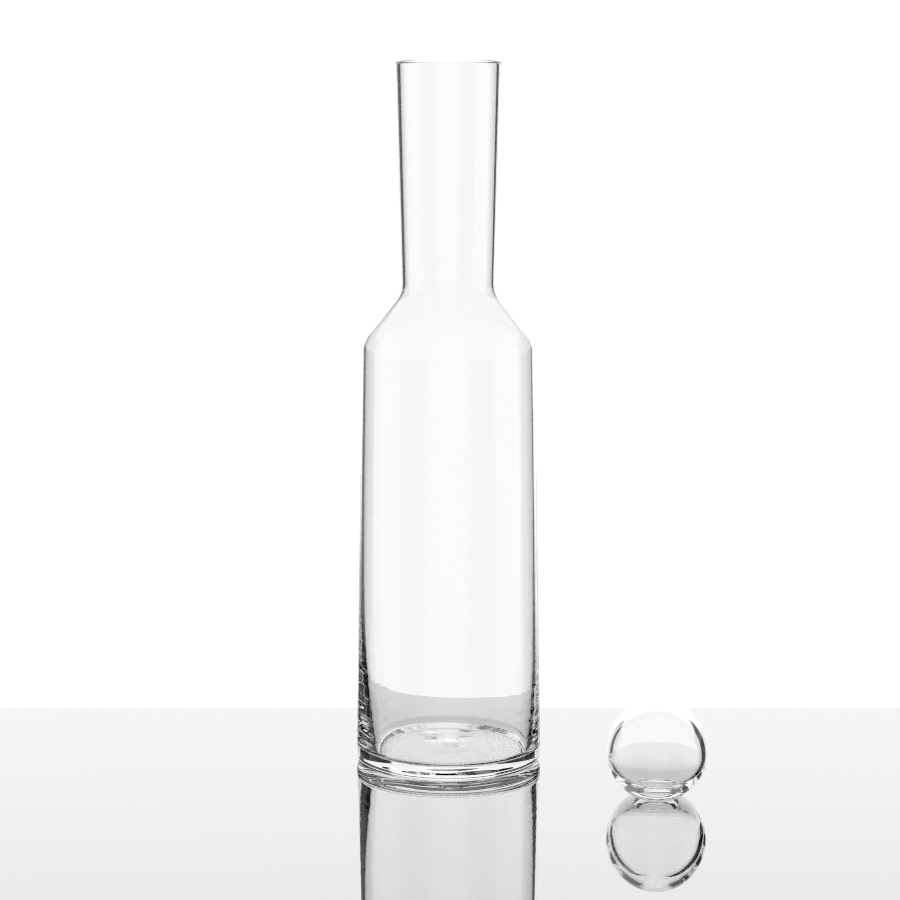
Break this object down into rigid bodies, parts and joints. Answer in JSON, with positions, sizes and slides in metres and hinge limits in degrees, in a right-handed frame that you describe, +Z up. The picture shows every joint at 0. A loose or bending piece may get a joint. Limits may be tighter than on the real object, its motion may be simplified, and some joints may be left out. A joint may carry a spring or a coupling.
{
  "type": "wine decanter",
  "caption": "Clear blown-glass wine decanter with a tall flared neck and sloping shoulders, and the hollow glass ball stopper that stands beside it.",
  "frame": {"origin": "centre of the vessel's base, on the surface it stands on", "axes": "+Z up along the vessel's axis; -Y towards the side that the ball stopper stands in front of; +X to the right"},
  "size_m": [0.1567, 0.1246, 0.32],
  "materials": {
    "vessel_glass": "clear, colourless, fire-polished blown glass",
    "stopper_glass": "clear, colourless, fire-polished blown glass"
  },
  "bodies": {
    "vessel": {"decanter_vessel": "vessel_glass"},
    "stopper": {"ball_stopper": "stopper_glass"}
  },
  "joints": [
    {"name": "stopper_lift", "type": "slide", "parent": "vessel", "child": "stopper", "axis": [0, 0, 1], "range_m": [0, 0.335]}
  ]
}
